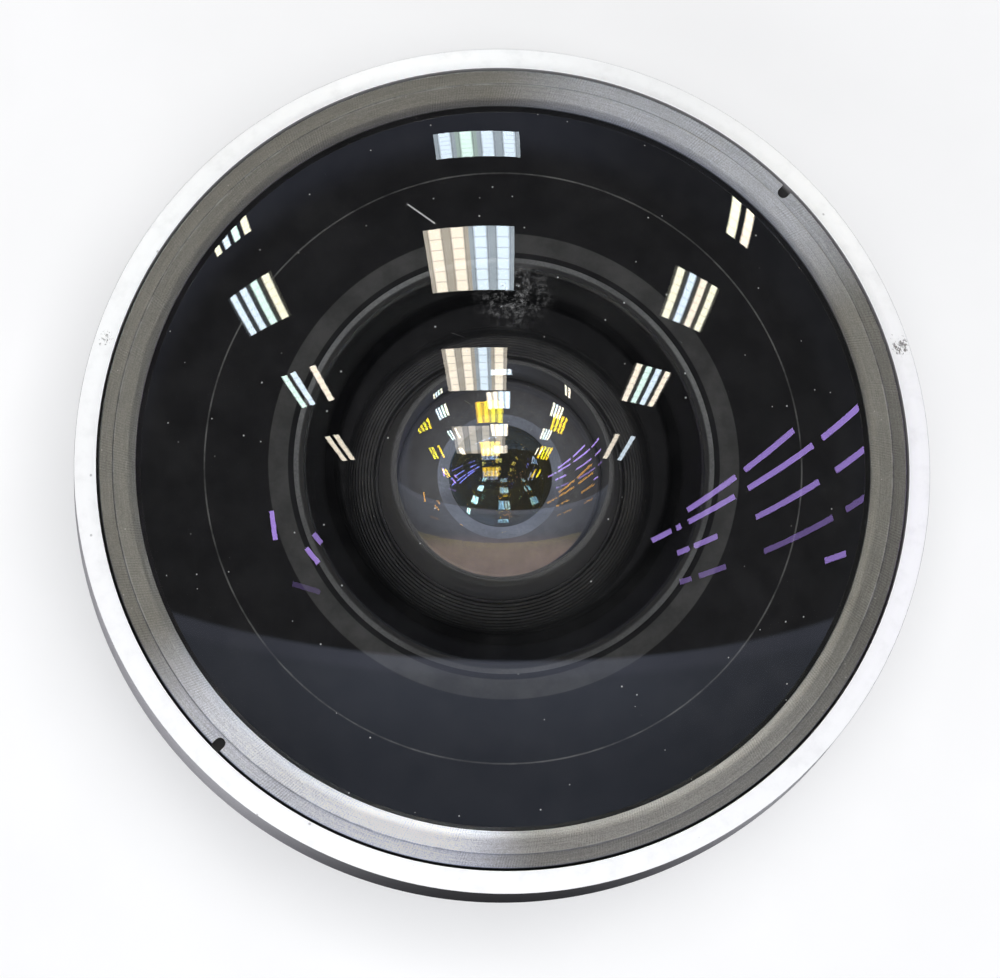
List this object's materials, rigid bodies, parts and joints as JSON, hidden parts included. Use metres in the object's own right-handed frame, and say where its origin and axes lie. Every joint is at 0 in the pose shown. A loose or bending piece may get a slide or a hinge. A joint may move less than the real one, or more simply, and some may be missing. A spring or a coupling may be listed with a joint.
{
  "type": "fisheye lens",
  "caption": "Screw-mount fisheye camera lens with a bulging front glass in a bright rim, turning focus and aperture rings, a working iris and glass groups inside.",
  "frame": {"origin": "centre of the rear face of the mount thread, the lowest point when the lens stands on its rear end", "axes": "+Z along the optical axis towards the front glass; +Y is the top of the front as the picture shows it, +X its right"},
  "size_m": [0.074, 0.074, 0.0689],
  "materials": {
    "anodised_black": "satin black anodised",
    "matt_black": "matt black anodised",
    "turned_grey": "dark grey, fine turned",
    "bright_aluminium": "bare, bright turned",
    "mount_steel": "bare, turned",
    "screw_steel": "blackened steel",
    "blade_steel": "blued spring steel",
    "brass": "turned",
    "front_glass": "polished, coated, rear edge blackened",
    "lens_glass": "polished and coated"
  },
  "bodies": {
    "mount": {"mount_base": "mount_steel", "mount_screws": "screw_steel", "fixed_barrel": "brass", "scale_ring": "anodised_black", "scale_ring_screws": "screw_steel", "guide_key": "screw_steel", "guide_key_screws": "screw_steel", "helicoid_retainer": "screw_steel", "click_spring": "brass", "click_spring_screw": "screw_steel"},
    "click_ball": {"click_ball": "screw_steel"},
    "aperture_control": {"aperture_ring": "anodised_black", "aperture_fork": "brass", "aperture_fork_screw": "screw_steel"},
    "focus_control": {"focus_ring": "anodised_black", "helicoid_ring": "brass", "focus_ring_screws": "screw_steel"},
    "lens_block": {"lens_barrel": "matt_black", "front_cell": "anodised_black", "front_cell_screws": "screw_steel", "front_bell": "anodised_black", "front_bell_screws": "screw_steel", "front_rim": "bright_aluminium", "front_retainer": "turned_grey", "glass_1": "front_glass", "grooved_baffle": "matt_black", "glass_2_retainer": "turned_grey", "glass_2": "lens_glass", "glass_3": "lens_glass", "glass_4": "lens_glass", "middle_spacer": "matt_black", "glass_5": "lens_glass", "middle_retainer": "turned_grey", "iris_plate": "matt_black", "rear_cell": "matt_black", "glass_6": "lens_glass", "glass_7": "lens_glass", "rear_spacer": "matt_black", "glass_8": "lens_glass", "rear_retainer": "turned_grey", "rear_filter": "lens_glass", "rear_filter_ring": "anodised_black"},
    "iris_drive": {"iris_drive_ring": "brass"},
    "blade_1": {"iris_blade_1": "blade_steel"},
    "blade_2": {"iris_blade_2": "blade_steel"},
    "blade_3": {"iris_blade_3": "blade_steel"},
    "blade_4": {"iris_blade_4": "blade_steel"},
    "blade_5": {"iris_blade_5": "blade_steel"},
    "blade_6": {"iris_blade_6": "blade_steel"}
  },
  "joints": [
    {"name": "focus_turn", "type": "hinge", "parent": "mount", "child": "focus_control", "pos_m": [0, 0, 0.0334], "axis": [0, 0, 1], "range_deg": [0, 120]},
    {"name": "focus_slide", "type": "slide", "parent": "mount", "child": "lens_block", "axis": [0, 0, 1], "range_m": [0, 0.0008]},
    {"name": "aperture_turn", "type": "hinge", "parent": "mount", "child": "aperture_control", "pos_m": [0, 0, 0.0148], "axis": [0, 0, 1], "range_deg": [0, 40]},
    {"name": "iris_drive_turn", "type": "hinge", "parent": "lens_block", "child": "iris_drive", "pos_m": [0, 0, 0.0172], "axis": [0, 0, 1], "range_deg": [0, 40]},
    {"name": "click_ball_slide", "type": "slide", "parent": "mount", "child": "click_ball", "axis": [-0.9397, 0.342, 0], "range_m": [0, 0.00018], "stiffness_N_per_m": 50, "springref_m": 0.0005},
    {"name": "blade_1_swing", "type": "hinge", "parent": "lens_block", "child": "blade_1", "pos_m": [0.0146, 0, 0.0182], "axis": [0, 0, 1], "range_deg": [0, 22]},
    {"name": "blade_2_swing", "type": "hinge", "parent": "lens_block", "child": "blade_2", "pos_m": [0.0073, 0.01264, 0.0182], "axis": [0, 0, 1], "range_deg": [0, 22]},
    {"name": "blade_3_swing", "type": "hinge", "parent": "lens_block", "child": "blade_3", "pos_m": [-0.0073, 0.01264, 0.0182], "axis": [0, 0, 1], "range_deg": [0, 22]},
    {"name": "blade_4_swing", "type": "hinge", "parent": "lens_block", "child": "blade_4", "pos_m": [-0.0146, 0, 0.0182], "axis": [0, 0, 1], "range_deg": [0, 22]},
    {"name": "blade_5_swing", "type": "hinge", "parent": "lens_block", "child": "blade_5", "pos_m": [-0.0073, -0.01264, 0.0182], "axis": [0, 0, 1], "range_deg": [0, 22]},
    {"name": "blade_6_swing", "type": "hinge", "parent": "lens_block", "child": "blade_6", "pos_m": [0.0073, -0.01264, 0.0182], "axis": [0, 0, 1], "range_deg": [0, 22]}
  ],
  "couplings": [
    {"joint": "focus_turn", "follows": "focus_slide", "rad_per_m": 2618},
    {"joint": "iris_drive_turn", "follows": "aperture_turn", "ratio": 1},
    {"joint": "blade_1_swing", "follows": "aperture_turn", "ratio": 0.55},
    {"joint": "blade_2_swing", "follows": "aperture_turn", "ratio": 0.55},
    {"joint": "blade_3_swing", "follows": "aperture_turn", "ratio": 0.55},
    {"joint": "blade_4_swing", "follows": "aperture_turn", "ratio": 0.55},
    {"joint": "blade_5_swing", "follows": "aperture_turn", "ratio": 0.55},
    {"joint": "blade_6_swing", "follows": "aperture_turn", "ratio": 0.55}
  ]
}
